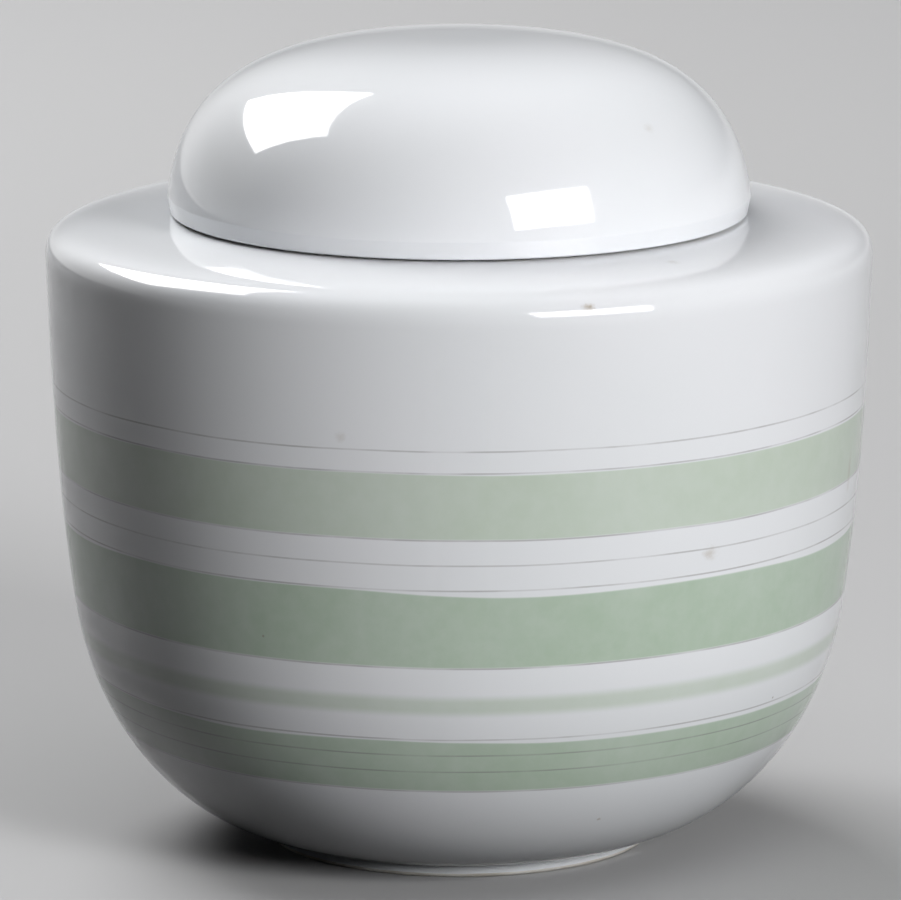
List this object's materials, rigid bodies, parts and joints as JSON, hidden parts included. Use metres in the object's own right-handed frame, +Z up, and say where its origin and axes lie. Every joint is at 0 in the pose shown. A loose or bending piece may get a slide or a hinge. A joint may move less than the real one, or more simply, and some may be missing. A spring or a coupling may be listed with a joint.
{
  "type": "lidded sugar bowl",
  "caption": "Lidded porcelain sugar bowl: a full round-bottomed body with a broad shoulder, and a domed lid that lifts out of the mouth.",
  "frame": {"origin": "centre of the foot ring, on the surface that the bowl stands on", "axes": "+Z up along the axis of the bowl and lid; X and Y are level, and all directions round the axis are alike"},
  "size_m": [0.1, 0.1, 0.0984],
  "materials": {
    "bowl_glaze": "glossy white porcelain glaze with pale green bands",
    "lid_glaze": "glossy white porcelain glaze"
  },
  "bodies": {
    "bowl": {"bowl": "bowl_glaze"},
    "lid": {"lid": "lid_glaze"}
  },
  "joints": [
    {"name": "lid_lift", "type": "slide", "parent": "bowl", "child": "lid", "axis": [0, 0, 1], "range_m": [0, 0.06]}
  ]
}
